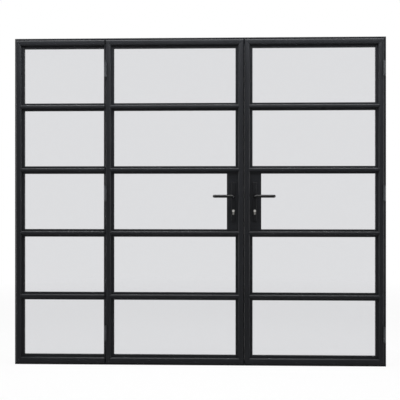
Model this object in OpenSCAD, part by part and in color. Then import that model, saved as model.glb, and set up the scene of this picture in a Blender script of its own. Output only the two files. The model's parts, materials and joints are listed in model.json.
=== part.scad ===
// Steel framed double door with a fixed glazed side panel, all in one frame.
// Millimetres, +Z up, front of the door towards -Y, origin under the middle of the frame.
// A panel is drawn from its own outer edge (x = 0) and stands at its true height.

/* [Overall] */
// Width over the frame
overall_w = 2336; // [1900:1:2800]
// Height over the frame
overall_h = 2062; // [1900:1:2400]
// Width from the left end of the frame to the mullion
side_w = 569; // [350:1:800]
// Panes above each other in every panel
pane_rows = 5; // [3:1:7]

/* [Fixed frame] */
// Thickness of the web of the head and the right jamb, which is the strip seen round the leaves
frame_nose = 9; // [5:0.5:12]
// Thickness of the left jamb's web, beside the side panel
left_nose = 6; // [5:0.5:12]
// Thickness of the mullion's web
mullion_nose = 5; // [5:0.5:12]
// How far the web's front edge lies behind the leaves' front face
frame_setback = 8; // [0:0.5:10]
// How far the stop reaches inwards from the web
stop_reach = 19; // [16:0.5:30]
// Depth of the stop
stop_d = 16; // [10:0.5:30]
// Wall of the hollow stop
stop_wall = 2; // [1:0.25:4]
// Thickness of the threshold plate
sill_t = 9; // [5:0.5:12]
// Height of the threshold's stop above the plate
sill_stop = 16; // [15:0.5:25]
// Flange on the mullion that the side panes lie against
mullion_flange = 4.5; // [4:0.5:12]
// Fixing holes in each jamb
fixing_count = 4; // [2:1:6]
// Height of the lowest fixing hole, and depth of the highest below the top
fixing_end = 230; // [120:5:400]
// Diameter of a fixing hole
fixing_d = 9; // [6:0.5:12]

/* [Panel sections] */
// Depth of the stiles, rails and bars
section_d = 58; // [50:1:80]
// Face width of a stile or rail tube
stile_face = 35; // [30:1:60]
// Face width of a glazing bar tube
bar_face = 24; // [20:1:40]
// Wall of the tubes
tube_wall = 2; // [1.5:0.25:3]
// Bevel on the outer corners of a stile or rail
edge_bevel = 5; // [3:0.5:7]
// Bevel on the glass side of a stile, rail or bar
nose_bevel = 6; // [4:0.5:9]
// Glazing flange of a stile or rail
flange_w = 16.5; // [10:0.5:20]
// Glazing flange of a bar, and of the lock box
bar_flange = 12; // [8:0.5:14]
// Thickness of the glazing flanges
flange_t = 3; // [2:0.5:4]
// How far the flanges lie behind the front face
flange_setback = 17; // [12:0.5:18]
// Gap between a leaf and the frame
leaf_gap = 2.5; // [2:0.25:5]
// Gap between the two leaves
meeting_gap = 4; // [4:0.25:6]

/* [Glazing] */
// Thickness of the glass
glass_t = 8; // [6:0.5:10]
// Thickness of the glazing tape on each side of the glass
tape_t = 1; // [0.5:0.25:2]
// Room between the glass edge and the steel
glass_clear = 2.5; // [2:0.5:6]

/* [Seals] */
// Room between a leaf's rear face and the stop
seal_gap = 4; // [3:0.25:6]
// Width of the frame gasket
gasket_w = 6; // [4:0.5:8]
// How far the gasket lies in from a leaf's edge
gasket_inset = 7; // [6:0.5:9]
// How far the meeting seal stands out from the left leaf's edge
meeting_seal_t = 1.5; // [0.5:0.25:1.5]
// Width of the meeting seal
meeting_seal_w = 6; // [4:0.5:10]
// How far the meeting seal stops short of the leaf's ends
meeting_seal_end = 1; // [0.5:0.5:5]

/* [Hinges] */
// Height of the lowest hinge's middle
hinge_low = 200; // [150:1:320]
// Height of the middle hinge above the middle of the frame
hinge_lift = 52; // [0:1:120]
// Distance of the highest hinge's middle below the top of the frame
hinge_top = 199; // [150:1:320]
// Diameter of the hinge barrel
barrel_d = 14.5; // [14:0.5:20]
// Height of a whole hinge barrel
barrel_h = 95; // [60:1:140]
// Diameter of the hinge pin
pin_d = 8; // [6:0.5:9]
// Thickness of the collar between the two halves
collar_t = 1.5; // [1:0.25:3]
// How far the hinge axis lies in from the leaf's edge
hinge_inset = 1; // [1:0.25:3]

/* [Locks] */
// Height of the lever axis above the middle of the row with the lock
lever_lift = 33; // [20:1:45]
// Distance from the lever axis down to the cylinder
lock_centres = 92; // [72:1:92]
// Distance from the leaf's edge to the lever axis
backset = 65; // [60:1:70]
// Distance from the leaf's edge to the far side of the lock box
lock_box_end = 94; // [90:1:120]
// Sheet of the lock box
lock_box_wall = 2; // [1.5:0.25:2.5]
// Thickness of the lock case
case_t = 15; // [14:0.5:16]
// Sheet of the lock case
case_wall = 2; // [1.5:0.25:2]
// How far the lock case reaches above the lever axis
case_up = 60; // [45:1:65]
// How far the lock case reaches below the cylinder
case_down = 40; // [32:1:45]
// Width of the forend plate
forend_w = 20; // [18:0.5:24]
// Thickness of the forend plate
forend_t = 3; // [2.5:0.25:4]
// How far the forend reaches past the lock case
forend_over = 14; // [12:1:30]
// Height of the latch bolt
latch_h = 26; // [20:1:30]
// Thickness of the latch bolt and of the dead bolt
bolt_t = 10; // [8:0.25:10]
// Throw of the latch bolt
latch_throw = 12; // [8:0.5:12]
// Length of the latch bolt with its tail
latch_l = 42; // [30:1:48]
// Height of the latch above the lever axis
latch_above = 22; // [20:1:26]
// Height of the dead bolt
dead_h = 24; // [18:1:26]
// Length of the dead bolt
dead_l = 55; // [40:1:60]
// Height of the dead bolt above the cylinder
dead_above = 34; // [32:1:40]
// How far the drawn back bolts lie behind the forend's face
bolt_flush = 0.5; // [0.25:0.25:1]
// Diameter of the lever hub
hub_d = 22; // [20:0.5:24]
// Diameter of the hub's bearings in the lock case
hub_bearing_d = 18; // [16:0.5:18]
// Diameter of the lock cylinder's round part
cylinder_d = 17; // [16.5:0.25:17.5]
// Width of the lock cylinder's leg
cylinder_leg = 10; // [9:0.5:11]
// Distance from the cylinder's middle to the middle of the leg's round end
cylinder_drop = 19.5; // [19:0.25:21]
// Diameter of the key plug
plug_d = 13; // [12:0.25:13.5]
// Width of the cylinder's cam
cam_w = 8; // [6:0.5:9]
// Reach of the cylinder's cam
cam_r = 14; // [12:0.5:14.5]
// Width of the keyway
keyway_w = 2; // [1.5:0.25:3]
// Height of the keyway
keyway_h = 8; // [6:0.5:9]
// Depth of the keyway
keyway_d = 8; // [4:0.5:12]
// Diameter of a shoot bolt
rod_d = 10; // [8:0.5:10]
// Distance from the leaf's edge to the shoot bolts
rod_inset = 15; // [14:0.5:16]
// How far a shoot bolt reaches into the lock case
rod_tail = 20; // [10:1:22]
// How far a drawn in shoot bolt lies behind the leaf's end
rod_flush = 1; // [0.5:0.25:2]
// Room round a shoot bolt in the frame
rod_room = 1; // [0.5:0.25:2]
// Play of a sliding or turning piece, all round
run_play = 0.05; // [0.03:0.01:0.1]
// Room round a piece that is only set in a cut-out
set_play = 0.3; // [0.2:0.05:0.5]

/* [Handles] */
// Diameter of the lever bar
lever_d = 19; // [16:0.5:20]
// Room round a lever's neck in the lock box
lever_room = 1.5; // [0.5:0.25:2.5]
// Reach of a lever from its axis to its tip
lever_reach = 130; // [110:1:150]
// Distance from the backplate to the middle of the grip
lever_out = 45; // [40:1:60]
// Radius of the lever's two bends
lever_bend = 16; // [14:0.5:20]
// Length of the lever's straight return at the tip
lever_return = 10; // [4:0.5:16]
// Side of the square spindle
spindle_w = 8; // [7:0.5:9]
// Width of a backplate
plate_w = 26; // [26:0.5:36]
// Thickness of a backplate
plate_t = 9; // [6:0.5:12]
// How far a backplate reaches above the lever axis
plate_up = 88; // [80:1:120]
// How far a backplate reaches below the cylinder
plate_down = 65; // [60:1:100]
// Bevel on a backplate's front edges
plate_bevel = 2; // [0.5:0.25:3]
// Diameter of the screws that clamp the two backplates
screw_d = 5; // [4:0.5:6]
// Distance from a backplate's end to its screw
screw_end = 12; // [10:0.5:14]
// Steel left in front of a backplate screw
screw_cover = 4; // [2:0.5:5]
// Diameter of the forend's screws
forend_screw_d = 4; // [3:0.5:5]
// Distance from the lock case's end to the forend's screw
forend_screw_end = 8; // [6:0.5:8]
// Length of a lock cylinder
cylinder_l = 54; // [50:1:70]

/* [Hidden] */
$fn = 48;
tiny = 0.01;
steel = "#2a2b2d";
dark_steel = "#1f2022";
nickel = "#b9b8b2";
zinc = "#8d9094";
rubber = "#141414";
pane_tint = [0.80, 0.83, 0.82, 0.45];

// Planes across the depth, front to back
front_y = -section_d / 2;
rear_y = section_d / 2;
nose_y = front_y + frame_setback;
stop_y = rear_y + seal_gap;
back_y = stop_y + stop_d;
flange_y = front_y + flange_setback;
glass_y = flange_y + flange_t + tape_t;
bead_y = glass_y + glass_t + tape_t;
box_d = section_d - 2 * flange_setback;
bead_d = box_d / 2 - bead_y;

// Places across the width
left_x = -overall_w / 2;
mullion_x = left_x + side_w;
leaf_w = (overall_w - side_w - mullion_nose - frame_nose - 2 * leaf_gap - meeting_gap) / 2;
seam_x = mullion_x + mullion_nose + leaf_gap + leaf_w + meeting_gap / 2;
side_in = side_w - left_nose;
frame_m = frame_nose + stop_reach;
left_m = left_nose + stop_reach;

// Places up the height
leaf_z = sill_t + leaf_gap;
leaf_h = overall_h - frame_nose - leaf_gap - leaf_z;
leaf_top = leaf_z + leaf_h;
member_w = stile_face + flange_w;
bar_w = bar_face + 2 * bar_flange;
opening_h = (leaf_h - 2 * stile_face - (pane_rows - 1) * bar_face) / pane_rows;
lock_row = (pane_rows - 1) / 2 - ((pane_rows - 1) / 2) % 1;

// Steel faces below and above a row: the openings are alike, so that all panes are cut to one height
function row_low(i) = leaf_z + stile_face + i * (opening_h + bar_face);
function row_high(i) = row_low(i) + opening_h;
// Lower visible edge of a row, inside its glazing flanges, and the height that is seen
function row_z(i) = row_low(i) + (i == 0 ? flange_w : bar_flange);
function sight_h(i) = row_high(i) - (i == pane_rows - 1 ? flange_w : bar_flange) - row_z(i);

// Steel faces left and right of a row: a leaf's lock row starts at the lock box
function leaf_steel(i) = [i == lock_row ? lock_box_end : stile_face, leaf_w - stile_face];
function side_steel(i) = [stile_face, side_in];
// Visible edges of a row, inside the glazing flanges
function leaf_sight(i) = [leaf_steel(i)[0] + (i == lock_row ? bar_flange : flange_w), leaf_w - member_w];
function side_sight(i) = [member_w, side_in - mullion_flange];

// Hinge axis, just clear of the leaf's bevelled corner
barrel_r = barrel_d / 2;
hinge_run = edge_bevel - hinge_inset;
hinge_y = front_y - sqrt(pow(barrel_r + set_play, 2) - pow(hinge_run, 2));
hinge_z = [hinge_low, overall_h / 2 + hinge_lift, overall_h - hinge_top];
half_h = (barrel_h - collar_t) / 2;

// Lock places
lever_z = row_low(lock_row) + opening_h / 2 + lever_lift;
cylinder_z = lever_z - lock_centres;
case_low = cylinder_z - case_down;
case_high = lever_z + case_up;
case_end = lock_box_end - lock_box_wall - set_play;
latch_z = lever_z + latch_above;
dead_z = cylinder_z + dead_above;
plate_low = cylinder_z - plate_down;
plate_high = lever_z + plate_up;
plate_y = -box_d / 2 - plate_t;
screw_zs = [plate_low + screw_end, plate_high - screw_end];
case_in = case_t / 2 - case_wall;
spindle_in = lever_out - lever_bend;

// Placing of the panels: a leaf's x runs from its meeting edge to its hinge edge
module on_right() translate([seam_x + meeting_gap / 2, 0, 0]) children();
module on_left() translate([seam_x - meeting_gap / 2, 0, 0]) mirror([1, 0, 0]) children();
module on_side() translate([left_x + left_nose, 0, 0]) children();
module both_faces() {
    children();
    mirror([0, 1, 0]) children();
}

// Outline in x and z, drawn through the whole depth
module through(points, depth = 4 * section_d)
    rotate([90, 0, 0]) linear_extrude(depth, center = true) polygon(points);

// A section drawn in x and y, run along +X with its own x upwards
module along_x(length) rotate([0, -90, 0]) mirror([0, 0, 1]) linear_extrude(length) children();

// A cylinder along Y about the middle of the depth
module y_rod(r, length) rotate([90, 0, 0]) cylinder(r = r, h = length, center = true);

// Rectangle with cut corners, c0 on the low side of x and c1 on the high side
function cut_rect(x0, y0, x1, y1, c0, c1) = [
    [x0 + c0, y0], [x1 - c1, y0], [x1, y0 + c1], [x1, y1 - c1],
    [x1 - c1, y1], [x0 + c0, y1], [x0, y1 - c0], [x0, y0 + c0]
];
// The same corner cut, seen one wall further in
function inner_cut(c) = c - (2 - sqrt(2)) * tube_wall;

// Sections of the panels
module stile_outline() {
    polygon(cut_rect(0, front_y, stile_face, rear_y, edge_bevel, nose_bevel));
    translate([stile_face - tiny, flange_y]) square([flange_w + tiny, flange_t]);
}
module stile_hollow()
    polygon(cut_rect(tube_wall, front_y + tube_wall, stile_face - tube_wall, rear_y - tube_wall,
                     inner_cut(edge_bevel), inner_cut(nose_bevel)));
module bar_outline() {
    polygon(cut_rect(-bar_face / 2, front_y, bar_face / 2, rear_y, nose_bevel, nose_bevel));
    translate([-bar_w / 2, flange_y]) square([bar_w, flange_t]);
}
module bar_hollow()
    polygon(cut_rect(-bar_face / 2 + tube_wall, front_y + tube_wall, bar_face / 2 - tube_wall,
                     rear_y - tube_wall, inner_cut(nose_bevel), inner_cut(nose_bevel)));

// Panel members
module stile() translate([0, 0, leaf_z]) intersection() {
    difference() {
        linear_extrude(leaf_h) stile_outline();
        translate([0, 0, -1]) linear_extrude(leaf_h + 2) stile_hollow();
    }
    through([[0, 0], [member_w, member_w], [member_w, leaf_h - member_w], [0, leaf_h]]);
}
module rail(length, far_mitre) translate([0, 0, leaf_z]) intersection() {
    difference() {
        along_x(length) stile_outline();
        translate([-1, 0, 0]) along_x(length + 2) stile_hollow();
    }
    through([[0, 0], [length, 0], [length - far_mitre, member_w], [member_w, member_w]]);
}
module to_top() translate([0, 0, leaf_z + leaf_top]) mirror([0, 0, 1]) children();
module bar(length, far_stile) difference() {
    start = stile_face - nose_bevel;
    translate([start, 0, 0]) along_x(length - start - (far_stile ? start : 0)) difference() {
        bar_outline();
        bar_hollow();
    }
    translate([0, 0, -bar_w]) linear_extrude(2 * bar_w) stile_outline();
    if (far_stile)
        translate([length, 0, -bar_w]) mirror([1, 0, 0]) linear_extrude(2 * bar_w) stile_outline();
}
module bars(length, far_stile)
    for (i = [1 : pane_rows - 1]) translate([0, 0, row_z(i) - bar_w / 2]) bar(length, far_stile);

// Glazing of one row: the pane, its rear beads and the tape on both sides
module pane_slab(steel_x, i, y, thickness) {
    width = steel_x[1] - steel_x[0] - 2 * glass_clear;
    height = row_high(i) - row_low(i) - 2 * glass_clear;
    translate([steel_x[0] + glass_clear, y, row_low(i) + glass_clear]) cube([width, thickness, height]);
}
module pane(steel_x, i) pane_slab(steel_x, i, glass_y, glass_t);
module bead_ring(steel_x, sight_x, i) {
    run = steel_x[1] - steel_x[0];
    top = row_z(i) + sight_h(i);
    translate([steel_x[0], bead_y, row_low(i)]) cube([run, bead_d, row_z(i) - row_low(i)]);
    translate([steel_x[0], bead_y, top]) cube([run, bead_d, row_high(i) - top]);
    translate([steel_x[0], bead_y, row_z(i)]) cube([sight_x[0] - steel_x[0], bead_d, sight_h(i)]);
    translate([sight_x[1], bead_y, row_z(i)]) cube([steel_x[1] - sight_x[1], bead_d, sight_h(i)]);
}
module tape_ring(steel_x, sight_x, i) for (y = [glass_y - tape_t, glass_y + glass_t]) difference() {
    pane_slab(steel_x, i, y, tape_t);
    translate([sight_x[0], y - 1, row_z(i)]) cube([sight_x[1] - sight_x[0], tape_t + 2, sight_h(i)]);
}

// Sections of the fixed frame
module frame_outline(nose)
    polygon([[0, nose_y], [nose, nose_y], [nose, stop_y], [nose + stop_reach, stop_y],
             [nose + stop_reach, back_y], [0, back_y]]);
module frame_hollow(nose)
    translate([stop_wall, stop_y + stop_wall])
        square([nose + stop_reach - 2 * stop_wall, stop_d - 2 * stop_wall]);
module sill_outline()
    polygon([[0, nose_y], [sill_t, nose_y], [sill_t, stop_y], [sill_t + sill_stop, stop_y],
             [sill_t + sill_stop, back_y], [0, back_y]]);

// The shoot bolts' holes through the head, the threshold and the rails of the left leaf
module rod_hole(z0, z1, room)
    on_left() translate([rod_inset, 0, z0]) cylinder(d = rod_d + 2 * room, h = z1 - z0);

// A jamb, mitred to the head at both inner corners of the section
module jamb(nose) difference() {
    inner = nose + stop_reach;
    intersection() {
        difference() {
            linear_extrude(overall_h) frame_outline(nose);
            translate([0, 0, -1]) linear_extrude(overall_h + 2) frame_hollow(nose);
        }
        through([[0, 0], [inner, 0], [inner, overall_h - frame_m], [nose, overall_h - frame_nose],
                 [0, overall_h]]);
    }
    pitch = (overall_h - 2 * fixing_end) / (fixing_count - 1);
    for (i = [0 : fixing_count - 1])
        translate([-1, (stop_y + back_y) / 2, fixing_end + i * pitch])
            rotate([0, 90, 0]) cylinder(d = fixing_d, h = inner + 2);
}
module head_place() translate([left_x, 0, overall_h]) mirror([0, 0, 1]) children();
module frame_left_jamb() color(steel) translate([left_x, 0, 0]) jamb(left_nose);
module frame_right_jamb() color(steel) translate([-left_x, 0, 0]) mirror([1, 0, 0]) jamb(frame_nose);
module frame_head() color(steel) difference() {
    head_place() intersection() {
        difference() {
            along_x(overall_w) frame_outline(frame_nose);
            translate([-1, 0, 0]) along_x(overall_w + 2) frame_hollow(frame_nose);
        }
        through([[0, 0], [overall_w, 0], [overall_w - frame_m, frame_m], [left_m, frame_m],
                 [left_nose, frame_nose]]);
    }
    rod_hole(leaf_top, overall_h + 1, rod_room);
}
module frame_threshold() color(steel) difference() {
    translate([left_x + left_nose, 0, 0]) along_x(overall_w - left_nose - frame_nose) sill_outline();
    translate([left_x, 0, -1]) linear_extrude(overall_h) frame_outline(left_nose);
    translate([-left_x, 0, -1]) mirror([1, 0, 0]) linear_extrude(overall_h) frame_outline(frame_nose);
    rod_hole(-1, leaf_z, rod_room);
}
module frame_mullion() color(steel) {
    difference() {
        translate([mullion_x, 0, 0]) difference() {
            linear_extrude(overall_h) frame_outline(mullion_nose);
            translate([0, 0, -1]) linear_extrude(overall_h + 2) frame_hollow(mullion_nose);
        }
        translate([left_x, 0, 0]) along_x(overall_w) sill_outline();
        head_place() along_x(overall_w) frame_outline(frame_nose);
    }
    for (i = [0 : pane_rows - 1])
        translate([mullion_x - mullion_flange, flange_y, row_z(i)])
            cube([mullion_flange + tiny, flange_t, sight_h(i)]);
}

// Fixed side panel
module side_stile() color(steel) on_side() stile();
module side_top_rail() color(steel) on_side() to_top() rail(side_in, 0);
module side_bottom_rail() color(steel) on_side() rail(side_in, 0);
module side_bars() color(steel) on_side() bars(side_in, false);
module side_glass() color(pane_tint) on_side()
    for (i = [0 : pane_rows - 1]) pane(side_steel(i), i);
module side_beads() color(dark_steel) on_side()
    for (i = [0 : pane_rows - 1]) bead_ring(side_steel(i), side_sight(i), i);
module side_glazing_tape() color(rubber) on_side()
    for (i = [0 : pane_rows - 1]) tape_ring(side_steel(i), side_sight(i), i);

// Gasket on the stops, one ring round both leaves
module frame_gasket() color(rubber) {
    x0 = mullion_x + mullion_nose + leaf_gap + gasket_inset;
    x1 = -left_x - frame_nose - leaf_gap - gasket_inset;
    z0 = leaf_z + gasket_inset;
    z1 = leaf_top - gasket_inset;
    translate([0, rear_y + set_play, 0]) difference() {
        translate([x0, 0, z0]) cube([x1 - x0, seal_gap - set_play, z1 - z0]);
        translate([x0 + gasket_w, -1, z0 + gasket_w])
            cube([x1 - x0 - 2 * gasket_w, seal_gap + 2, z1 - z0 - 2 * gasket_w]);
    }
}

// Hinges: the frame's half below, the leaf's half above, and a pin with a collar between them
module on_hinges() for (z = hinge_z) translate([leaf_w - hinge_inset, hinge_y, z - barrel_h / 2]) children();
module hinge_frame_half(nose) difference() {
    foot = leaf_gap + hinge_inset;
    union() {
        cylinder(d = barrel_d, h = half_h);
        translate([foot, 0, 0]) cube([min(nose, barrel_r - foot), nose_y - hinge_y, half_h]);
    }
    translate([0, 0, -1]) cylinder(d = pin_d, h = half_h + 2);
}
module hinge_leaf_half() translate([0, 0, half_h + collar_t]) difference() {
    union() {
        cylinder(d = barrel_d, h = half_h);
        translate([-barrel_r, 0, 0]) cube([barrel_r - hinge_run, front_y - hinge_y, half_h]);
    }
    translate([0, 0, -1]) cylinder(d = pin_d + 2 * run_play, h = half_h + 2);
}
module hinge_pin() {
    cylinder(d = pin_d, h = barrel_h);
    translate([0, 0, half_h]) cylinder(d = barrel_d - 2, h = collar_t - run_play);
}
module hinge_frame_halves() color(zinc) {
    on_left() on_hinges() hinge_frame_half(mullion_nose);
    on_right() on_hinges() hinge_frame_half(frame_nose);
}
module hinge_pins() color(zinc) {
    on_left() on_hinges() hinge_pin();
    on_right() on_hinges() hinge_pin();
}
module leaf_hinge_halves() color(zinc) on_hinges() hinge_leaf_half();

// Leaf members, drawn once and set on either side
module leaf_hinge_stile() color(steel) translate([leaf_w, 0, 0]) mirror([1, 0, 0]) stile();
module forend_shape(grow, x0, x1) {
    half = forend_w / 2 + grow;
    low = case_low - forend_over + forend_w / 2;
    high = case_high + forend_over - forend_w / 2;
    translate([x0, -half, low]) cube([x1 - x0, 2 * half, high - low]);
    for (z = [low, high]) translate([x0, 0, z]) rotate([0, 90, 0]) cylinder(r = half, h = x1 - x0);
}
module leaf_meeting_stile() color(steel) difference() {
    stile();
    translate([stile_face, flange_y - 1, row_z(lock_row)]) cube([flange_w + 1, flange_t + 2, sight_h(lock_row)]);
    forend_shape(set_play, -1, tube_wall + 1);
    translate([stile_face - tube_wall - 1, -case_t / 2 - set_play, case_low - set_play])
        cube([tube_wall + 2, case_t + 2 * set_play, case_high - case_low + 2 * set_play]);
}
module leaf_top_rail() color(steel) to_top() rail(leaf_w, member_w);
module leaf_bottom_rail() color(steel) rail(leaf_w, member_w);
module leaf_bars() color(steel) bars(leaf_w, true);
module leaf_glass() color(pane_tint) for (i = [0 : pane_rows - 1]) pane(leaf_steel(i), i);
module leaf_beads() color(dark_steel)
    for (i = [0 : pane_rows - 1]) bead_ring(leaf_steel(i), leaf_sight(i), i);
module leaf_glazing_tape() color(rubber)
    for (i = [0 : pane_rows - 1]) tape_ring(leaf_steel(i), leaf_sight(i), i);

// Lock box beside the meeting stile, with the cut-outs for the lever, the cylinder and the screws
module cylinder_shape(length, grow) {
    y_rod(cylinder_d / 2 + grow, length);
    translate([0, 0, -cylinder_drop]) y_rod(cylinder_leg / 2 + grow, length);
    translate([0, 0, -cylinder_drop / 2])
        cube([cylinder_leg + 2 * grow, length, cylinder_drop], center = true);
}
module at_lever() translate([backset, 0, lever_z]) children();
module at_cylinder() translate([backset, 0, cylinder_z]) children();
module at_screws() for (z = screw_zs) translate([backset, 0, z]) children();
module leaf_lock_box() color(steel) {
    z0 = row_low(lock_row);
    z1 = row_high(lock_row);
    box_w = lock_box_end - stile_face;
    end_t = bar_flange + lock_box_wall;
    hole_l = 2 * box_d;
    difference() {
        translate([stile_face, -box_d / 2, z0]) cube([box_w, box_d, z1 - z0]);
        translate([stile_face - 1, -box_d / 2 + lock_box_wall, z0 + end_t])
            cube([box_w - lock_box_wall + 1, box_d - 2 * lock_box_wall, z1 - z0 - 2 * end_t]);
        for (z = [z0, z1 - bar_flange])
            translate([stile_face - 1, -box_d / 2 - 1, z]) cube([lock_box_end, flange_t + 1, bar_flange]);
        at_lever() y_rod(lever_d / 2 + lever_room, hole_l);
        at_cylinder() cylinder_shape(hole_l, set_play);
        at_screws() y_rod(screw_d / 2 + set_play, hole_l);
    }
    translate([lock_box_end - tiny, flange_y, row_z(lock_row)])
        cube([bar_flange + tiny, flange_t, sight_h(lock_row)]);
}

// Lock case: a sheet box with its cut-outs, open inside for the moving pieces
module leaf_lock_case(with_rods) color(zinc) difference() {
    translate([forend_t, -case_t / 2, case_low]) cube([case_end - forend_t, case_t, case_high - case_low]);
    translate([forend_t + case_wall, -case_in, case_low + case_wall])
        cube([case_end - forend_t - 2 * case_wall, 2 * case_in, case_high - case_low - 2 * case_wall]);
    bolt_ports(forend_t + case_wall + 1);
    at_lever() y_rod(hub_bearing_d / 2 + run_play, case_t + 2);
    at_cylinder() cylinder_shape(case_t + 2, set_play);
    if (with_rods)
        translate([rod_inset, 0, case_low - 1])
            cylinder(d = rod_d + 2 * set_play, h = case_high - case_low + 2);
}
module bolt_ports(depth) {
    port_t = bolt_t + 2 * run_play;
    for (port = [[latch_z, latch_h], [dead_z, dead_h]])
        translate([-1, -port_t / 2, port[0] - port[1] / 2 - run_play])
            cube([depth + 1, port_t, port[1] + 2 * run_play]);
}
module forend_screws(length)
    for (z = [case_low + forend_screw_end, case_high - forend_screw_end])
        translate([0, 0, z]) rotate([0, 90, 0]) csk_screw(forend_screw_d, length);
// Countersunk screw from its head's face upwards
module csk_screw(d, length) {
    cylinder(d1 = 2 * d, d2 = d, h = d / 2);
    cylinder(d = d, h = length);
}
module leaf_forend() color(nickel) difference() {
    forend_shape(0, 0, forend_t);
    bolt_ports(forend_t + 1);
    forend_screws(forend_t + 1);
}

// Backplates, front and rear, and the screws that clamp them from the rear
module backplate() intersection() {
    translate([backset, 0, plate_low]) linear_extrude(plate_high - plate_low)
        polygon([[-plate_w / 2, -box_d / 2], [-plate_w / 2, plate_y + plate_bevel],
                 [-plate_w / 2 + plate_bevel, plate_y], [plate_w / 2 - plate_bevel, plate_y],
                 [plate_w / 2, plate_y + plate_bevel], [plate_w / 2, -box_d / 2]]);
    translate([backset, 0, 0]) rotate([90, 0, 90]) linear_extrude(2 * plate_w, center = true)
        polygon([[-box_d / 2, plate_low], [plate_y + plate_bevel, plate_low],
                 [plate_y, plate_low + plate_bevel], [plate_y, plate_high - plate_bevel],
                 [plate_y + plate_bevel, plate_high], [-box_d / 2, plate_high]]);
}
module leaf_backplates() color(dark_steel) difference() {
    both_faces() backplate();
    at_lever() y_rod(lever_d / 2 + run_play, 4 * section_d);
    at_cylinder() cylinder_shape(4 * section_d, set_play);
    leaf_screws();
}
module leaf_screws() at_screws()
    translate([0, -plate_y, 0]) rotate([90, 0, 0]) csk_screw(screw_d, box_d + 2 * plate_t - screw_cover);
module leaf_lock_screws() color(zinc) {
    leaf_screws();
    forend_screws(forend_t);
}

// Lock cylinder with its two key plugs and the cam between them
module leaf_cylinder() color(nickel) at_cylinder() difference() {
    cylinder_shape(cylinder_l, 0);
    y_rod(plug_d / 2 + run_play, cylinder_l + 2);
    y_rod(cam_r + 1, cam_w + 2 * set_play);
}
module leaf_key_plugs() color(nickel) at_cylinder() difference() {
    union() {
        y_rod(plug_d / 2, cylinder_l);
        translate([0, 0, -cam_r / 2]) cube([cam_w, cam_w, cam_r], center = true);
    }
    both_faces() translate([-keyway_w / 2, -cylinder_l / 2 - 1, -keyway_h / 2])
        cube([keyway_w, keyway_d + 1, keyway_h]);
}

// Levers: round bar bent at the neck and back again at the tip
module lever_bar() {
    r = lever_d / 2;
    grip_y = plate_y - lever_out;
    bend_y = grip_y + lever_bend;
    neck_y = -case_t / 2 - set_play;
    tip_x = lever_reach - r - lever_bend;
    socket_w = spindle_w + 2 * run_play;
    difference() {
        translate([0, neck_y, 0]) rotate([90, 0, 0]) cylinder(r = r, h = neck_y - bend_y);
        translate([0, neck_y, 0]) cube([socket_w, 2 * spindle_in, socket_w], center = true);
    }
    translate([lever_bend, bend_y, 0]) rotate([0, 0, 180]) rotate_extrude(angle = 90)
        translate([lever_bend, 0]) circle(r);
    translate([lever_bend, grip_y, 0]) rotate([0, 90, 0]) cylinder(r = r, h = tip_x - lever_bend);
    translate([tip_x, bend_y, 0]) rotate([0, 0, -90]) rotate_extrude(angle = 90)
        translate([lever_bend, 0]) circle(r);
    translate([tip_x + lever_bend, bend_y, 0]) rotate([-90, 0, 0]) cylinder(r = r, h = lever_return);
}
module leaf_levers() color(dark_steel) at_lever() both_faces() lever_bar();
module leaf_spindle() color(zinc) at_lever()
    cube([spindle_w, case_t + 2 * spindle_in, spindle_w], center = true);
module leaf_lever_hub() color(zinc) at_lever() difference() {
    union() {
        y_rod(hub_bearing_d / 2, case_t);
        y_rod(hub_d / 2, 2 * case_in - 2 * set_play);
    }
    cube([spindle_w + 2 * run_play, case_t + 2, spindle_w + 2 * run_play], center = true);
}

// Bolts of the right lock, drawn back behind the forend; the latch is bevelled on its closing side
module right_latch_bolt() color(nickel) on_right() translate([bolt_flush, 0, latch_z]) {
    head_l = forend_t + case_wall + latch_throw + bolt_t / 2;
    half = bolt_t / 2;
    translate([0, 0, -latch_h / 2]) linear_extrude(latch_h)
        polygon([[0, -half], [head_l, -half], [head_l, half], [latch_throw, half], [0, -half / 2]]);
    translate([head_l - tiny, -half / 2, -half / 2]) cube([latch_l - head_l + tiny, half, half]);
}
module right_dead_bolt() color(nickel) on_right()
    translate([bolt_flush, -bolt_t / 2, dead_z - dead_h / 2]) cube([dead_l, bolt_t, dead_h]);

// Shoot bolts of the left lock, drawn in behind the leaf's ends
module left_top_bolt() color(zinc) on_left() translate([rod_inset, 0, case_high - rod_tail])
    cylinder(d = rod_d, h = leaf_top - rod_flush - case_high + rod_tail);
module left_bottom_bolt() color(zinc) on_left() translate([rod_inset, 0, leaf_z + rod_flush])
    cylinder(d = rod_d, h = case_low + rod_tail - leaf_z - rod_flush);

// Left leaf
module left_hinge_stile() on_left() leaf_hinge_stile();
module left_meeting_stile() on_left() leaf_meeting_stile();
module left_top_rail() difference() {
    on_left() leaf_top_rail();
    rod_hole(leaf_top - stile_face / 2, leaf_top + 1, run_play);
}
module left_bottom_rail() difference() {
    on_left() leaf_bottom_rail();
    rod_hole(leaf_z - 1, leaf_z + stile_face / 2, run_play);
}
module left_bars() on_left() leaf_bars();
module left_lock_box() on_left() leaf_lock_box();
module left_glass() on_left() leaf_glass();
module left_beads() on_left() leaf_beads();
module left_glazing_tape() on_left() leaf_glazing_tape();
module left_hinge_leaf_halves() on_left() leaf_hinge_halves();
module left_lock_case() on_left() leaf_lock_case(true);
module left_forend() on_left() leaf_forend();
module left_backplates() on_left() leaf_backplates();
module left_lock_screws() on_left() leaf_lock_screws();
module left_cylinder() on_left() leaf_cylinder();
module left_key_plugs() on_left() leaf_key_plugs();
module left_levers() on_left() leaf_levers();
module left_spindle() on_left() leaf_spindle();
module left_lever_hub() on_left() leaf_lever_hub();
module left_meeting_seal() color(rubber) on_left()
    translate([-meeting_seal_t, rear_y - edge_bevel - meeting_seal_w, leaf_z + meeting_seal_end])
        cube([meeting_seal_t, meeting_seal_w, leaf_h - 2 * meeting_seal_end]);

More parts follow.
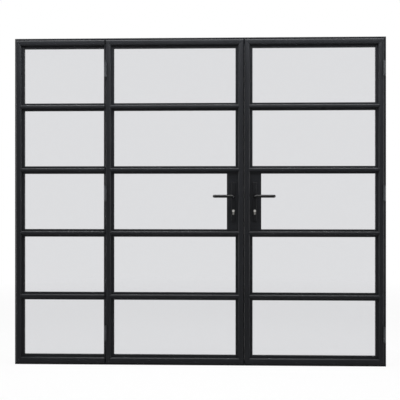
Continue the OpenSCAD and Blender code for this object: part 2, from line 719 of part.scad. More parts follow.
// Right leaf
module right_hinge_stile() on_right() leaf_hinge_stile();
module right_meeting_stile() on_right() leaf_meeting_stile();
module right_top_rail() on_right() leaf_top_rail();
module right_bottom_rail() on_right() leaf_bottom_rail();
module right_bars() on_right() leaf_bars();
module right_lock_box() on_right() leaf_lock_box();
module right_glass() on_right() leaf_glass();
module right_beads() on_right() leaf_beads();
module right_glazing_tape() on_right() leaf_glazing_tape();
module right_hinge_leaf_halves() on_right() leaf_hinge_halves();
module right_lock_case() on_right() leaf_lock_case(false);
module right_forend() on_right() leaf_forend();
module right_backplates() on_right() leaf_backplates();
module right_lock_screws() on_right() leaf_lock_screws();
module right_cylinder() on_right() leaf_cylinder();
module right_key_plugs() on_right() leaf_key_plugs();
module right_levers() on_right() leaf_levers();
module right_spindle() on_right() leaf_spindle();
module right_lever_hub() on_right() leaf_lever_hub();

frame_left_jamb();
frame_right_jamb();
frame_head();
frame_mullion();
frame_threshold();
side_stile();
side_top_rail();
side_bottom_rail();
side_bars();
side_glass();
side_beads();
side_glazing_tape();
frame_gasket();
hinge_frame_halves();
hinge_pins();
left_hinge_stile();
left_meeting_stile();
left_top_rail();
left_bottom_rail();
left_bars();
left_lock_box();
left_glass();
left_beads();
left_glazing_tape();
left_hinge_leaf_halves();
left_lock_case();
left_forend();
left_backplates();
left_lock_screws();
left_cylinder();
left_key_plugs();
left_levers();
left_spindle();
left_lever_hub();
left_top_bolt();
left_bottom_bolt();
left_meeting_seal();
right_hinge_stile();
right_meeting_stile();
right_top_rail();
right_bottom_rail();
right_bars();
right_lock_box();
right_glass();
right_beads();
right_glazing_tape();
right_hinge_leaf_halves();
right_lock_case();
right_forend();
right_backplates();
right_lock_screws();
right_cylinder();
right_key_plugs();
right_levers();
right_spindle();
right_lever_hub();
right_latch_bolt();
right_dead_bolt();
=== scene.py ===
"""Looks of a steel framed double door with a glazed side panel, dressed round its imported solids."""

import json
import math

import bmesh
import bpy
from bpy.props import FloatProperty, FloatVectorProperty, PointerProperty
from mathutils import Matrix, Vector

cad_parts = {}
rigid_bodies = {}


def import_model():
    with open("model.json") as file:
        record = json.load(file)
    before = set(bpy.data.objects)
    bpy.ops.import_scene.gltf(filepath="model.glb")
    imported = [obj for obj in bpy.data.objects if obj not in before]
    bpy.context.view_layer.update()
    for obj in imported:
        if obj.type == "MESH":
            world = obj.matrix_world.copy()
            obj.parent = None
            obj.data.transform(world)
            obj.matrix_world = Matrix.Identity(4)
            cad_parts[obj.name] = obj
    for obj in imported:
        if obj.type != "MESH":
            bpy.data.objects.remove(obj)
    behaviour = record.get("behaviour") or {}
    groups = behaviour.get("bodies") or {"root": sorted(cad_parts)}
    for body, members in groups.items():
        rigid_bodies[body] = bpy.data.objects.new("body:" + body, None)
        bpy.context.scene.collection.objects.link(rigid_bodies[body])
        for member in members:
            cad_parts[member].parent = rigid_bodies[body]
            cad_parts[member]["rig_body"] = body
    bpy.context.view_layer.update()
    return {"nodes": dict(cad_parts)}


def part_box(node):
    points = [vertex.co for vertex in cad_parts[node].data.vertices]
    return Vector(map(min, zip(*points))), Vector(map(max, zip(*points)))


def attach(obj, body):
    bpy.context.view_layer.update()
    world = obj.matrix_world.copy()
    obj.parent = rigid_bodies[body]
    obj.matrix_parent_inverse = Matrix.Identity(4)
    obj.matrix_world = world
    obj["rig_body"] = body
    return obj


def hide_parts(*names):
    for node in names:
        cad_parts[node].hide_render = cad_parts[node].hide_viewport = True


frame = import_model()
NODES = frame["nodes"]

bl_info = {
    "name": "Steel Door With Side Panel",
    "version": (1, 0, 0),
    "blender": (4, 5, 0),
    "location": "View3D > Sidebar > Steel Door",
    "description": "Finishes and small fittings of a glazed steel double door with a side panel",
    "category": "Object",
}

SIDES = ("left", "right")
LEAF_STEEL = ("hinge_stile", "meeting_stile", "top_rail", "bottom_rail", "bars", "lock_box")
FRAME_STEEL = (
    "frame_left_jamb", "frame_right_jamb", "frame_head", "frame_mullion", "frame_threshold",
    "side_stile", "side_top_rail", "side_bottom_rail", "side_bars",
)
HINGE_STEEL = (
    "hinge_frame_halves", "left_hinge_leaf_halves", "right_hinge_leaf_halves", "hinge_pins",
)

# Patterns: cells in a metre, detail and roughness
COAT_CLOUDS = (5.0, 4.0, 0.55)
COAT_PATCHES = (38.0, 3.0)
METAL_LINES = (1.0, 3.0, 0.65)
RUBBER_BLOOM = (55.0, 4.0, 0.6)
RUBBER_SKIN = (1400.0, 2.0)
GLASS_SMEARS = (2.5, 3.0)
GLASS_WAVES = (3.0, 1.0)
# Detail and roughness of the pores, whose size is the coat's grain
COAT_PORES = (2.0, 0.6)
# The range that most of a pattern's values lie in
PATTERN_RANGE = (0.3, 0.7)

# Darkest and palest tone of a finish, as shares of its colour
COAT_TONES = (0.88, 1.12)
METAL_TONES = (0.82, 1.1)
RUBBER_TONES = (0.8, 1.5)

# Roughness: least and most, and for coat and metal as changes to their own
COAT_MATT = (-0.05, 0.06)
METAL_MATT = (-0.07, 0.09)
RUBBER_MATT = (0.68, 0.86)
GLASS_MATT = (0.0, 0.012)

# Bump: strength and depth in metres, and for the coat a depth as a share of its grain
COAT_BUMP = (0.22, 0.2)
METAL_BUMP = (0.12, 0.00008)
RUBBER_BUMP = (0.2, 0.0001)
GLASS_WAVE_DEPTH = 0.0005

RUBBER_GLOSS = 0.3
GLASS_IOR = 1.46

# Roughness of each metal, and how many of its lines lie in a metre along each axis
HINGE_ROUGHNESS = 0.42
TURNED_LINES = (8.0, 8.0, 1500.0)
NICKEL_ROUGHNESS = 0.3
CYLINDER_ROUGHNESS = 0.34
BRUSHED_LINES = (900.0, 900.0, 12.0)
ZINC_ROUGHNESS = 0.38
ZINC_SPANGLES = (60.0, 60.0, 45.0)

# Coat on the levers and backplates, as shares of the other coats where it isn't a roughness
HANDLE_GRAIN = 0.6
PLATE_ROUGHNESS = 0.38
LEVER_ROUGHNESS = 0.16
# The levers' colour is the handle coat made darker: partly their own black, and partly painted shade that
# stands in for the dark room a satin lever mirrors.
LEVER_PAINTED_SHADE = 0.4
LEVER_GLOSS = 2.0

# Edges: rounding in metres, and the angles that tell a sharp edge from a facet and from a flat
FOREND_EDGE = 0.0004
BOLT_EDGE = 0.0008
EDGE_STEPS = 2
SHARP_ANGLE = math.radians(30.0)
FACET_ANGLE = math.radians(14.0)
FLAT_ANGLE = math.radians(0.2)
WELD_GAP = 1e-6

# Screws: lengths in metres, and shares of a radius
SCREW_SIDES = 24
SOCKET_SIDES = 6
HEAD_SHARE = 2.0
SOCKET_SHARE = 0.5
SOCKET_DEPTH = 0.4
PLATE_SCREW_END = 0.012
PLATE_SCREW_R = 0.0025
FOREND_SCREW_END = 0.008
FOREND_SCREW_R = 0.002
FOREND_THICKNESS = 0.003
QUARTER_TURN = math.radians(90.0)
TO_REAR = Matrix.Rotation(-QUARTER_TURN, 4, "X")

# Seals: width in metres, and the nose as a share of it
GASKET_WIDTH = 0.006
GASKET_NOSE = 0.45
GASKET_STEPS = 5
# Half a side of the square that is scaled to the gasket's outline
UNIT_HALF = 0.5
# Section of the meeting seal: shares of the fin's reach outwards, and of the foot's width across
FIN_SECTION = (
    (0.0, -0.5), (0.30, -0.5), (0.38, -0.40), (0.38, -0.14), (0.62, -0.08),
    (0.84, 0.04), (0.98, 0.20), (1.0, 0.33), (0.90, 0.35), (0.76, 0.23),
    (0.58, 0.13), (0.38, 0.10), (0.38, 0.40), (0.30, 0.5), (0.0, 0.5),
)

# Stage: places and sizes in metres
FLOOR_HALF = 30.0
FLOOR_ROUGHNESS = 0.9
# How white the floor is to the eye, near the door and far from it, and where that changes
FLOOR_SHARE = (0.91, 1.0)
FLOOR_FADE = (2.2, 5.5)
AIM_HEIGHT = 0.9
FRONT_LAMP_PLACE = (0.0, -0.7, 3.05)
FRONT_LAMP_SIZE = (3.6, 1.5)
REAR_LAMP_PLACE = (0.0, 0.72, 3.4)
REAR_LAMP_SIZE = (3.6, 1.6)
SIDE_LAMP_REACH = 4.0
SIDE_LAMP_DEPTH = -0.3
SIDE_LAMP_HEIGHT = 1.2
SIDE_LAMP_SIZE = (3.0, 2.4)
# Width of the camera's film in millimetres
FILM_WIDTH = 36.0


# Node trees

class Finish:
    """A new material with its Principled shader, and short ways to add nodes to it."""

    def __init__(self, name):
        self.material = bpy.data.materials.new(name)
        self.material.use_nodes = True
        self.tree = self.material.node_tree
        self.tree.nodes.clear()
        self.output = self.tree.nodes.new("ShaderNodeOutputMaterial")
        self.shader = self.tree.nodes.new("ShaderNodeBsdfPrincipled")
        self.link(self.shader.outputs["BSDF"], self.output.inputs["Surface"])
        self.place = self.tree.nodes.new("ShaderNodeTexCoord").outputs["Object"]

    def link(self, source, target):
        """Joins two sockets."""
        self.tree.links.new(source, target)

    def set(self, **values):
        """Sets plain values on the shader's own sockets, with _ for a blank in a socket's name."""
        for name, value in values.items():
            self.shader.inputs[name.replace("_", " ")].default_value = value

    def stretch(self, scale):
        """Object coordinates scaled by a factor on each axis."""
        mapping = self.tree.nodes.new("ShaderNodeMapping")
        mapping.inputs["Scale"].default_value = scale
        self.link(self.place, mapping.inputs["Vector"])
        return mapping.outputs["Vector"]

    def noise(self, scale, detail, roughness=0.5, place=None):
        """A cloudy pattern in object coordinates, or in those of another socket."""
        node = self.tree.nodes.new("ShaderNodeTexNoise")
        node.inputs["Scale"].default_value = scale
        node.inputs["Detail"].default_value = detail
        node.inputs["Roughness"].default_value = roughness
        self.link(place or self.place, node.inputs["Vector"])
        return node.outputs["Fac"]

    def span(self, value, low, high, source=PATTERN_RANGE):
        """A value spread from the source range to low and high."""
        node = self.tree.nodes.new("ShaderNodeMapRange")
        node.inputs["From Min"].default_value, node.inputs["From Max"].default_value = source
        node.inputs["To Min"].default_value, node.inputs["To Max"].default_value = low, high
        self.link(value, node.inputs["Value"])
        return node.outputs["Result"]

    def tint(self, pattern, colour, tones):
        """Base colour that goes from the darkest to the palest tone of a colour with a pattern."""
        node = self.tree.nodes.new("ShaderNodeMix")
        node.data_type = "RGBA"
        self.link(self.span(pattern, 0.0, 1.0), node.inputs["Factor"])
        for socket, tone in zip(("A", "B"), tones):
            node.inputs[socket].default_value = (*shade(colour, tone), 1.0)
        self.link(node.outputs["Result"], self.shader.inputs["Base Color"])

    def matt(self, pattern, low, high):
        """Roughness that goes from low to high with a pattern."""
        self.link(self.span(pattern, low, high), self.shader.inputs["Roughness"])

    def bump(self, height, strength, distance):
        """Relief with a pattern as its height."""
        node = self.tree.nodes.new("ShaderNodeBump")
        node.inputs["Strength"].default_value = strength
        node.inputs["Distance"].default_value = distance
        self.link(height, node.inputs["Height"])
        self.link(node.outputs["Normal"], self.shader.inputs["Normal"])


def shade(colour, factor):
    """A colour made darker or paler by a factor."""
    return tuple(min(1.0, c * factor) for c in colour)


def powder_coat(name, colour, roughness, grain, gloss):
    """Fine structured powder coat: a cloudy tone, small pores and an uneven gloss."""
    coat = Finish(name)
    coat.tint(coat.noise(*COAT_CLOUDS), colour, COAT_TONES)
    coat.matt(coat.noise(*COAT_PATCHES), *(roughness + change for change in COAT_MATT))
    strength, depth = COAT_BUMP
    coat.bump(coat.noise(1.0 / grain, *COAT_PORES), strength, grain * depth)
    coat.set(Specular_IOR_Level=gloss)
    return coat


def satin_metal(name, colour, roughness, stretch):
    """Metal with fine brush lines across the axis that stretch squeezes."""
    metal = Finish(name)
    lines = metal.noise(*METAL_LINES, metal.stretch(stretch))
    metal.tint(lines, colour, METAL_TONES)
    metal.matt(lines, *(roughness + change for change in METAL_MATT))
    metal.bump(lines, *METAL_BUMP)
    metal.set(Metallic=1.0)
    return metal


def rubber(name, colour):
    """Matt rubber with a fine skin and a slight bloom."""
    skin = Finish(name)
    bloom = skin.noise(*RUBBER_BLOOM)
    skin.tint(bloom, colour, RUBBER_TONES)
    skin.matt(bloom, *RUBBER_MATT)
    skin.bump(skin.noise(*RUBBER_SKIN), *RUBBER_BUMP)
    skin.set(Specular_IOR_Level=RUBBER_GLOSS)
    return skin


def pane_glass(name, tone, wave):
    """Clear flat glass with a faint grey tone, which lets the lamps through."""
    glass = Finish(name)
    glass.set(Base_Color=(*tone, 1.0), Transmission_Weight=1.0, IOR=GLASS_IOR)
    glass.matt(glass.noise(*GLASS_SMEARS), *GLASS_MATT)
    glass.bump(glass.noise(*GLASS_WAVES), wave, GLASS_WAVE_DEPTH)
    clear = glass.tree.nodes.new("ShaderNodeBsdfTransparent")
    clear.inputs["Color"].default_value = (*tone, 1.0)
    path = glass.tree.nodes.new("ShaderNodeLightPath")
    either = glass.tree.nodes.new("ShaderNodeMixShader")
    glass.link(path.outputs["Is Shadow Ray"], either.inputs["Fac"])
    glass.link(glass.shader.outputs["BSDF"], either.inputs[1])
    glass.link(clear.outputs["BSDF"], either.inputs[2])
    glass.link(either.outputs["Shader"], glass.output.inputs["Surface"])
    return glass


# Pieces

def wear(node, finish):
    """Puts a finish on a solid."""
    slots = NODES[node].material_slots
    for slot in slots:
        slot.material = finish.material
    if not slots:
        NODES[node].data.materials.append(finish.material)


def stand_in(name, bm, finish, node):
    """Makes a piece of a bmesh that stands for a solid, on the solid's body and with its slot."""
    mesh = bpy.data.meshes.new(name)
    bm.to_mesh(mesh)
    bm.free()
    piece = bpy.data.objects.new(name, mesh)
    bpy.context.scene.collection.objects.link(piece)
    mesh.materials.append(finish.material)
    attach(piece, NODES[node]["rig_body"])
    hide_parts(node)


def set_shading(bm):
    """Smooth faces with sharp edges, so that flats stay flat and rounds look round."""
    for face in bm.faces:
        face.smooth = True
    for edge in bm.edges:
        edge.smooth = len(edge.link_faces) == 2 and edge.calc_face_angle(0.0) < FACET_ANGLE


def round_edges(bm, edges, width, steps):
    """Rounds the given edges."""
    bmesh.ops.bevel(bm, geom=edges, offset=width, offset_type="OFFSET", affect="EDGES",
                    segments=steps, profile=0.5, material=-1, clamp_overlap=True)


def soften(node, finish, width):
    """Stands a copy with rounded edges in for a solid, because no real edge is razor sharp."""
    bm = bmesh.new()
    bm.from_mesh(NODES[node].data)
    bmesh.ops.remove_doubles(bm, verts=bm.verts, dist=WELD_GAP)
    bmesh.ops.dissolve_limit(bm, angle_limit=FLAT_ANGLE, verts=bm.verts, edges=bm.edges)
    sharp = [e for e in bm.edges if len(e.link_faces) == 2 and e.calc_face_angle(0.0) > SHARP_ANGLE]
    round_edges(bm, sharp, width, EDGE_STEPS)
    set_shading(bm)
    stand_in(f"{node}_finished", bm, finish, node)


def edges_among(verts):
    """The edges whose two ends are both in the given ring, in an order that is the same each run."""
    ring = set(verts)
    return list(dict.fromkeys(e for v in verts for e in v.link_edges if e.other_vert(v) in ring))


def draw_out(bm, edges, move, scale):
    """Draws a ring of edges out into a wall and returns the new ring."""
    made = bmesh.ops.extrude_edge_only(bm, edges=edges)["geom"]
    verts = [g for g in made if isinstance(g, bmesh.types.BMVert)]
    bmesh.ops.scale(bm, vec=(scale, scale, 1.0), verts=verts)
    bmesh.ops.translate(bm, vec=move, verts=verts)
    return [g for g in made if isinstance(g, bmesh.types.BMEdge)]


def thicken(bm, faces, height):
    """Draws faces out along z into a closed solid and returns the moved corners."""
    made = bmesh.ops.extrude_face_region(bm, geom=faces)["geom"]
    moved = [g for g in made if isinstance(g, bmesh.types.BMVert)]
    bmesh.ops.translate(bm, vec=(0.0, 0.0, height), verts=moved)
    bmesh.ops.recalc_face_normals(bm, faces=bm.faces)
    return moved


def socket_screw(bm, place, turn, shank_r, length):
    """Adds a countersunk screw with a hexagon socket, its head at place and its shank along turn's -Z."""
    head_r = HEAD_SHARE * shank_r
    start = len(bm.verts)
    rim = bmesh.ops.create_circle(bm, segments=SCREW_SIDES, radius=head_r)["verts"]
    socket = bmesh.ops.create_circle(bm, segments=SOCKET_SIDES, radius=SOCKET_SHARE * head_r)["verts"]
    rim_edges = edges_among(rim)
    socket_edges = edges_among(socket)
    bmesh.ops.bridge_loops(bm, edges=rim_edges + socket_edges)
    floor = draw_out(bm, socket_edges, (0.0, 0.0, -SOCKET_DEPTH * head_r), 1.0)
    bmesh.ops.edgeloop_fill(bm, edges=floor)
    neck = draw_out(bm, rim_edges, (0.0, 0.0, shank_r - head_r), shank_r / head_r)
    end = draw_out(bm, neck, (0.0, 0.0, head_r - shank_r - length), 1.0)
    bmesh.ops.edgeloop_fill(bm, edges=end)
    bm.verts.ensure_lookup_table()
    mine = bm.verts[start:]
    faces = list(dict.fromkeys(f for v in mine for f in v.link_faces))
    bmesh.ops.recalc_face_normals(bm, faces=faces)
    bmesh.ops.transform(bm, matrix=Matrix.Translation(Vector(place)) @ turn, verts=mine)


def screw_down(side, finish):
    """Socket screws in the rear backplate and in the forend of one leaf."""
    plates, case, forend = (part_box(f"{side}_{part}") for part in ("backplates", "lock_case", "forend"))
    bm = bmesh.new()
    middle = (plates[0].x + plates[1].x) / 2
    depth = plates[1].y - plates[0].y - PLATE_SCREW_R
    for z in (plates[0].z + PLATE_SCREW_END, plates[1].z - PLATE_SCREW_END):
        socket_screw(bm, (middle, plates[1].y, z), TO_REAR, PLATE_SCREW_R, depth)
    outward = 1.0 if side == "left" else -1.0
    face = forend[1].x if side == "left" else forend[0].x
    to_edge = Matrix.Rotation(QUARTER_TURN * outward, 4, "Y")
    for z in (case[0].z + FOREND_SCREW_END, case[1].z - FOREND_SCREW_END):
        socket_screw(bm, (face, 0.0, z), to_edge, FOREND_SCREW_R, FOREND_THICKNESS)
    set_shading(bm)
    stand_in(f"{side}_socket_screws", bm, finish, f"{side}_lock_screws")


def bulb_gasket(finish):
    """A ring of rubber on the stops, round on the side that the leaves press."""
    node = "frame_gasket"
    low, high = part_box(node)
    bm = bmesh.new()
    bmesh.ops.create_grid(bm, x_segments=1, y_segments=1, size=UNIT_HALF)
    bmesh.ops.scale(bm, vec=(high.x - low.x, high.z - low.z, 1.0), verts=bm.verts)
    field = bm.faces[:]
    ring = bmesh.ops.inset_region(
        bm, faces=field, thickness=GASKET_WIDTH, use_boundary=True, use_even_offset=True)["faces"]
    bmesh.ops.delete(bm, geom=field, context="FACES_ONLY")
    pressed = thicken(bm, ring, high.y - low.y)
    nose = [e for e in edges_among(pressed) if e.calc_face_angle(0.0) > SHARP_ANGLE]
    round_edges(bm, nose, GASKET_NOSE * GASKET_WIDTH, GASKET_STEPS)
    middle = Vector(((low.x + high.x) / 2, high.y, (low.z + high.z) / 2))
    upright = Matrix.Translation(middle) @ Matrix.Rotation(QUARTER_TURN, 4, "X")
    bmesh.ops.transform(bm, matrix=upright, verts=bm.verts)
    set_shading(bm)
    stand_in("frame_bulb_gasket", bm, finish, node)


def fin_seal(finish, clear):
    """A rubber foot along the left leaf's edge, with a soft fin that closes the seam."""
    node = "left_meeting_seal"
    low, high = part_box(node)
    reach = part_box("right_meeting_stile")[0].x - low.x - clear
    width = high.y - low.y
    middle = (low.y + high.y) / 2
    bm = bmesh.new()
    corners = [(low.x + reach * out, middle + width * across, 0.0) for out, across in FIN_SECTION]
    section = bm.faces.new([bm.verts.new(corner) for corner in corners])
    thicken(bm, [section], high.z - low.z)
    bmesh.ops.translate(bm, vec=(0.0, 0.0, low.z), verts=bm.verts)
    set_shading(bm)
    stand_in("left_meeting_fin", bm, finish, node)


# Sizes and colours that a user would change

class CoatSettings(bpy.types.PropertyGroup):
    """Powder coat on the frame, the panels, the beads and the handles."""

    steel: FloatVectorProperty(
        name="Steel coat", description="Colour of the powder coat on the frame and the panels",
        subtype="COLOR", size=3, min=0.0, max=1.0, default=(0.0103, 0.0110, 0.0127))
    # The bead coat is the steel coat made darker: painted shade for the recess beside the glass where the
    # beads sit.
    bead: FloatVectorProperty(
        name="Bead coat", description="Colour of the coat on the glazing beads",
        subtype="COLOR", size=3, min=0.0, max=1.0, default=(0.0091, 0.0097, 0.0111))
    handle: FloatVectorProperty(
        name="Handle coat", description="Colour of the satin coat on levers and backplates",
        subtype="COLOR", size=3, min=0.0, max=1.0, default=(0.0060, 0.0064, 0.0073))
    roughness: FloatProperty(
        name="Roughness", description="How matt the powder coat is",
        subtype="FACTOR", min=0.1, max=1.0, default=0.32)
    gloss: FloatProperty(
        name="Gloss", description="How much of the room the powder coat mirrors",
        subtype="FACTOR", min=0.0, max=1.0, default=0.09)
    grain: FloatProperty(
        name="Grain", description="Size of the pores in the powder coat",
        subtype="DISTANCE", unit="LENGTH", min=0.0002, max=0.005, default=0.0011)
    edge: FloatProperty(
        name="Edge rounding", description="Width of the rounding on the steel's edges",
        subtype="DISTANCE", unit="LENGTH", min=0.0001, max=0.002, default=0.0005)


class FittingSettings(bpy.types.PropertyGroup):
    """Metal, glass and rubber of the fittings."""

    hinge: FloatVectorProperty(
        name="Hinge steel", description="Colour of the turned hinge barrels",
        subtype="COLOR", size=3, min=0.0, max=1.0, default=(0.042, 0.044, 0.047))
    nickel: FloatVectorProperty(
        name="Nickel", description="Colour of the satin nickel on key plugs, bolts and forends",
        subtype="COLOR", size=3, min=0.0, max=1.0, default=(0.46, 0.452, 0.432))
    cylinder: FloatVectorProperty(
        name="Cylinder body", description="Colour of the darker nickel on the lock cylinders' bodies",
        subtype="COLOR", size=3, min=0.0, max=1.0, default=(0.17, 0.167, 0.160))
    zinc: FloatVectorProperty(
        name="Zinc", description="Colour of the zinc-plated lock cases, rods and screws",
        subtype="COLOR", size=3, min=0.0, max=1.0, default=(0.42, 0.43, 0.45))
    glass: FloatVectorProperty(
        name="Glass tone", description="What is left of white light behind a pane",
        subtype="COLOR", size=3, min=0.0, max=1.0, default=(0.7105, 0.715, 0.7315))
    wave: FloatProperty(
        name="Glass wave", description="How uneven the panes' faces are",
        subtype="FACTOR", min=0.0, max=0.2, default=0.01)
    seal: FloatVectorProperty(
        name="Seal rubber", description="Colour of the gasket, the meeting seal and the tape",
        subtype="COLOR", size=3, min=0.0, max=1.0, default=(0.010, 0.010, 0.0105))
    fin_clear: FloatProperty(
        name="Fin clearance", description="Room between the meeting seal's fin and the right leaf",
        subtype="DISTANCE", unit="LENGTH", min=0.0, max=0.002, default=0.00015)


class StageSettings(bpy.types.PropertyGroup):
    """Camera, lamps and backdrop."""

    camera: FloatVectorProperty(
        name="Camera", description="Place of the camera", subtype="TRANSLATION", unit="LENGTH",
        size=3, default=(0.1686, -5.0, 1.0404))
    turn: FloatProperty(
        name="Turn", description="How far the camera looks to the left of straight on",
        subtype="ANGLE", unit="ROTATION", default=math.radians(1.877))
    lens: FloatProperty(
        name="Lens", description="Focal length on a 36 mm wide film", min=10.0, max=300.0, default=71.23)
    front_lamp: FloatProperty(
        name="Front softbox", description="Power of the softbox above the front", unit="POWER",
        min=0.0, default=160.0)
    rear_lamp: FloatProperty(
        name="Rear softbox", description="Power of the softbox above the rear", unit="POWER",
        min=0.0, default=115.0)
    side_lamp: FloatProperty(
        name="Side softboxes", description="Power of each softbox beside the door", unit="POWER",
        min=0.0, default=88.0)
    ambient: FloatProperty(
        name="Room light", description="Strength of the light from the room", min=0.0, default=0.04)
    floor: FloatVectorProperty(
        name="Floor", description="Colour of the floor", subtype="COLOR", size=3, min=0.0, max=1.0,
        default=(0.45, 0.45, 0.45))


def settings(kind):
    """The scene's settings of one kind."""
    return getattr(bpy.context.scene, f"steel_door_{kind}")


# Operators, one for each group of pieces

class STEELDOOR_OT_coat_steel(bpy.types.Operator):
    """Coat the fixed frame, the side panel and the steel of both leaves"""

    bl_idname = "steel_door.coat_steel"
    bl_label = "Coat The Steel"

    def execute(self, context):
        coat = settings("coat")
        finish = powder_coat("steel_powder_coat", coat.steel, coat.roughness, coat.grain, coat.gloss)
        for node in (*FRAME_STEEL, *(f"{side}_{part}" for side in SIDES for part in LEAF_STEEL)):
            soften(node, finish, coat.edge)
        return {"FINISHED"}


class STEELDOOR_OT_glaze(bpy.types.Operator):
    """Give the panes, their beads and their tape a finish"""

    bl_idname = "steel_door.glaze"
    bl_label = "Glaze The Panels"

    def execute(self, context):
        coat, fitting = settings("coat"), settings("fitting")
        glass = pane_glass("pane_glass", fitting.glass, fitting.wave)
        # The beads wear the darker bead coat, which paints shade into their recess beside the glass.
        bead = powder_coat("bead_coat_painted_shade", coat.bead, coat.roughness, coat.grain, coat.gloss)
        tape = rubber("glazing_tape_foam", fitting.seal)
        for panel in ("side", *SIDES):
            wear(f"{panel}_glass", glass)
            soften(f"{panel}_beads", bead, coat.edge)
            wear(f"{panel}_glazing_tape", tape)
        return {"FINISHED"}


class STEELDOOR_OT_hang_leaves(bpy.types.Operator):
    """Finish the hinge halves and their pins"""

    bl_idname = "steel_door.hang_leaves"
    bl_label = "Finish The Hinges"

    def execute(self, context):
        colour = settings("fitting").hinge
        finish = satin_metal("turned_hinge_steel", colour, HINGE_ROUGHNESS, TURNED_LINES)
        for node in HINGE_STEEL:
            wear(node, finish)
        return {"FINISHED"}


class STEELDOOR_OT_fit_locks(bpy.types.Operator):
    """Finish the lock cases, forends, cylinders, bolts and screws"""

    bl_idname = "steel_door.fit_locks"
    bl_label = "Fit The Locks"

    def execute(self, context):
        fitting = settings("fitting")
        nickel = satin_metal("satin_nickel", fitting.nickel, NICKEL_ROUGHNESS, BRUSHED_LINES)
        body = satin_metal("cylinder_nickel", fitting.cylinder, CYLINDER_ROUGHNESS, BRUSHED_LINES)
        zinc = satin_metal("zinc_plate", fitting.zinc, ZINC_ROUGHNESS, ZINC_SPANGLES)
        for side in SIDES:
            wear(f"{side}_cylinder", body)
            wear(f"{side}_key_plugs", nickel)
            soften(f"{side}_forend", nickel, FOREND_EDGE)
            for part in ("lock_case", "spindle", "lever_hub"):
                wear(f"{side}_{part}", zinc)
            screw_down(side, zinc)
        for node in ("right_latch_bolt", "right_dead_bolt"):
            soften(node, nickel, BOLT_EDGE)
        for node in ("left_top_bolt", "left_bottom_bolt"):
            wear(node, zinc)
        return {"FINISHED"}


class STEELDOOR_OT_fit_handles(bpy.types.Operator):
    """Finish the levers and their backplates"""

    bl_idname = "steel_door.fit_handles"
    bl_label = "Fit The Handles"

    def execute(self, context):
        coat = settings("coat")
        grain = HANDLE_GRAIN * coat.grain
        plate = powder_coat("backplate_coat", coat.handle, PLATE_ROUGHNESS, grain, coat.gloss)
        # The lever coat is the handle coat made darker: partly the levers' own black, and partly painted
        # shade.
        lever = powder_coat("lever_coat_satin_painted_shade", shade(coat.handle, LEVER_PAINTED_SHADE), LEVER_ROUGHNESS, grain,
                            LEVER_GLOSS * coat.gloss)
        for side in SIDES:
            soften(f"{side}_backplates", plate, coat.edge)
            wear(f"{side}_levers", lever)
        return {"FINISHED"}


class STEELDOOR_OT_seal(bpy.types.Operator):
    """Make the frame gasket and the meeting seal"""

    bl_idname = "steel_door.seal"
    bl_label = "Seal The Leaves"

    def execute(self, context):
        fitting = settings("fitting")
        finish = rubber("seal_rubber_black", fitting.seal)
        bulb_gasket(finish)
        fin_seal(finish, fitting.fin_clear)
        return {"FINISHED"}


class STEELDOOR_OT_stage(bpy.types.Operator):
    """Lay the floor and set the lamps, the backdrop and the camera"""

    bl_idname = "steel_door.stage"
    bl_label = "Set The Stage"

    def execute(self, context):
        stage = settings("stage")
        lay_floor(stage)
        set_backdrop(stage)
        softbox("softbox_front", FRONT_LAMP_PLACE, FRONT_LAMP_SIZE, stage.front_lamp)
        softbox("softbox_rear", REAR_LAMP_PLACE, REAR_LAMP_SIZE, stage.rear_lamp)
        for side, outward in zip(SIDES, (-1.0, 1.0)):
            place = (outward * SIDE_LAMP_REACH, SIDE_LAMP_DEPTH, SIDE_LAMP_HEIGHT)
            softbox(f"softbox_{side}", place, SIDE_LAMP_SIZE, stage.side_lamp)
        set_camera(stage)
        context.scene.view_settings.view_transform = "Standard"
        return {"FINISHED"}


# Stage

def seen_rays(tree):
    """1 for a ray that the eye, a mirror or a pane sends out, and 0 for one that only carries light."""
    path = tree.nodes.new("ShaderNodeLightPath")
    seen = path.outputs["Is Camera Ray"]
    for other in ("Is Glossy Ray", "Is Transmission Ray"):
        either = tree.nodes.new("ShaderNodeMath")
        either.operation = "MAXIMUM"
        tree.links.new(seen, either.inputs[0])
        tree.links.new(path.outputs[other], either.inputs[1])
        seen = either.outputs["Value"]
    return seen


def lay_floor(stage):
    """A wide pale floor: almost white to the eye, with the door's shadow still on it near the door."""
    bm = bmesh.new()
    bmesh.ops.create_grid(bm, x_segments=1, y_segments=1, size=FLOOR_HALF)
    mesh = bpy.data.meshes.new("floor")
    bm.to_mesh(mesh)
    bm.free()
    floor = bpy.data.objects.new("floor", mesh)
    bpy.context.scene.collection.objects.link(floor)
    finish = Finish("floor_paint")
    finish.set(Base_Color=(*stage.floor, 1.0), Roughness=FLOOR_ROUGHNESS, Specular_IOR_Level=0.0)
    reach = finish.tree.nodes.new("ShaderNodeVectorMath")
    reach.operation = "LENGTH"
    finish.link(finish.place, reach.inputs[0])
    share = finish.tree.nodes.new("ShaderNodeMath")
    share.operation = "MULTIPLY"
    finish.link(seen_rays(finish.tree), share.inputs[0])
    finish.link(finish.span(reach.outputs["Value"], *FLOOR_SHARE, source=FLOOR_FADE), share.inputs[1])
    glow = finish.tree.nodes.new("ShaderNodeEmission")
    both = finish.tree.nodes.new("ShaderNodeMixShader")
    finish.link(share.outputs["Value"], both.inputs["Fac"])
    finish.link(finish.shader.outputs["BSDF"], both.inputs[1])
    finish.link(glow.outputs["Emission"], both.inputs[2])
    finish.link(both.outputs["Shader"], finish.output.inputs["Surface"])
    mesh.materials.append(finish.material)


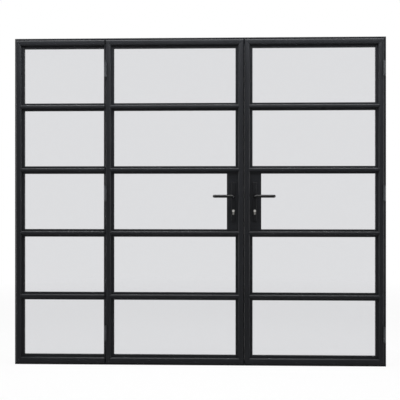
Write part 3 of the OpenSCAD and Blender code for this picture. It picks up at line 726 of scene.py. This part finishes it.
def set_backdrop(stage):
    """White to the eye, in mirrors and behind glass, and a dim even room as a light."""
    world = bpy.data.worlds.new("studio")
    bpy.context.scene.world = world
    world.use_nodes = True
    tree = world.node_tree
    tree.nodes.clear()
    out = tree.nodes.new("ShaderNodeOutputWorld")
    white = tree.nodes.new("ShaderNodeBackground")
    room = tree.nodes.new("ShaderNodeBackground")
    either = tree.nodes.new("ShaderNodeMixShader")
    for background, strength in ((white, 1.0), (room, stage.ambient)):
        background.inputs["Color"].default_value = (1.0, 1.0, 1.0, 1.0)
        background.inputs["Strength"].default_value = strength
    tree.links.new(seen_rays(tree), either.inputs["Fac"])
    tree.links.new(room.outputs["Background"], either.inputs[1])
    tree.links.new(white.outputs["Background"], either.inputs[2])
    tree.links.new(either.outputs["Shader"], out.inputs["Surface"])


def softbox(name, place, size, power):
    """A wide rectangular lamp that looks at the middle of the door."""
    lamp = bpy.data.lights.new(name, "AREA")
    lamp.shape = "RECTANGLE"
    lamp.size, lamp.size_y = size
    lamp.energy = power
    light = bpy.data.objects.new(name, lamp)
    bpy.context.scene.collection.objects.link(light)
    light.location = place
    aim = Vector((0.0, 0.0, AIM_HEIGHT)) - Vector(place)
    light.rotation_euler = aim.to_track_quat("-Z", "Y").to_euler()


def set_camera(stage):
    """A level camera in front of the door, turned a little to the left."""
    lens = bpy.data.cameras.new("camera")
    lens.lens = stage.lens
    lens.sensor_width = FILM_WIDTH
    camera = bpy.data.objects.new("camera", lens)
    bpy.context.scene.collection.objects.link(camera)
    camera.location = stage.camera
    camera.rotation_euler = (QUARTER_TURN, 0.0, stage.turn)
    bpy.context.scene.camera = camera


# Sidebar

class STEELDOOR_PT_sidebar(bpy.types.Panel):
    """Sidebar page of the door"""

    bl_idname = "STEELDOOR_PT_sidebar"
    bl_label = "Steel Door"
    bl_space_type = "VIEW_3D"
    bl_region_type = "UI"
    bl_category = "Steel Door"

    def draw(self, context):
        for operator in OPERATORS:
            self.layout.operator(operator.bl_idname)
        for kind in GROUPS:
            group = settings(kind)
            box = self.layout.box()
            for name in group.bl_rna.properties.keys():
                if name not in ("rna_type", "name"):
                    box.prop(group, name)


GROUPS = {"coat": CoatSettings, "fitting": FittingSettings, "stage": StageSettings}
OPERATORS = (
    STEELDOOR_OT_coat_steel, STEELDOOR_OT_glaze, STEELDOOR_OT_hang_leaves, STEELDOOR_OT_fit_locks,
    STEELDOOR_OT_fit_handles, STEELDOOR_OT_seal, STEELDOOR_OT_stage,
)


def register():
    for cls in (*GROUPS.values(), *OPERATORS, STEELDOOR_PT_sidebar):
        bpy.utils.register_class(cls)
    for kind, cls in GROUPS.items():
        setattr(bpy.types.Scene, f"steel_door_{kind}", PointerProperty(type=cls))


def unregister():
    for kind in GROUPS:
        delattr(bpy.types.Scene, f"steel_door_{kind}")
    for cls in reversed((*GROUPS.values(), *OPERATORS, STEELDOOR_PT_sidebar)):
        bpy.utils.unregister_class(cls)


def main():
    """Makes every piece and the stage."""
    register()
    bpy.ops.steel_door.coat_steel()
    bpy.ops.steel_door.glaze()
    bpy.ops.steel_door.hang_leaves()
    bpy.ops.steel_door.fit_locks()
    bpy.ops.steel_door.fit_handles()
    bpy.ops.steel_door.seal()
    bpy.ops.steel_door.stage()


if __name__ == "__main__":
    main()
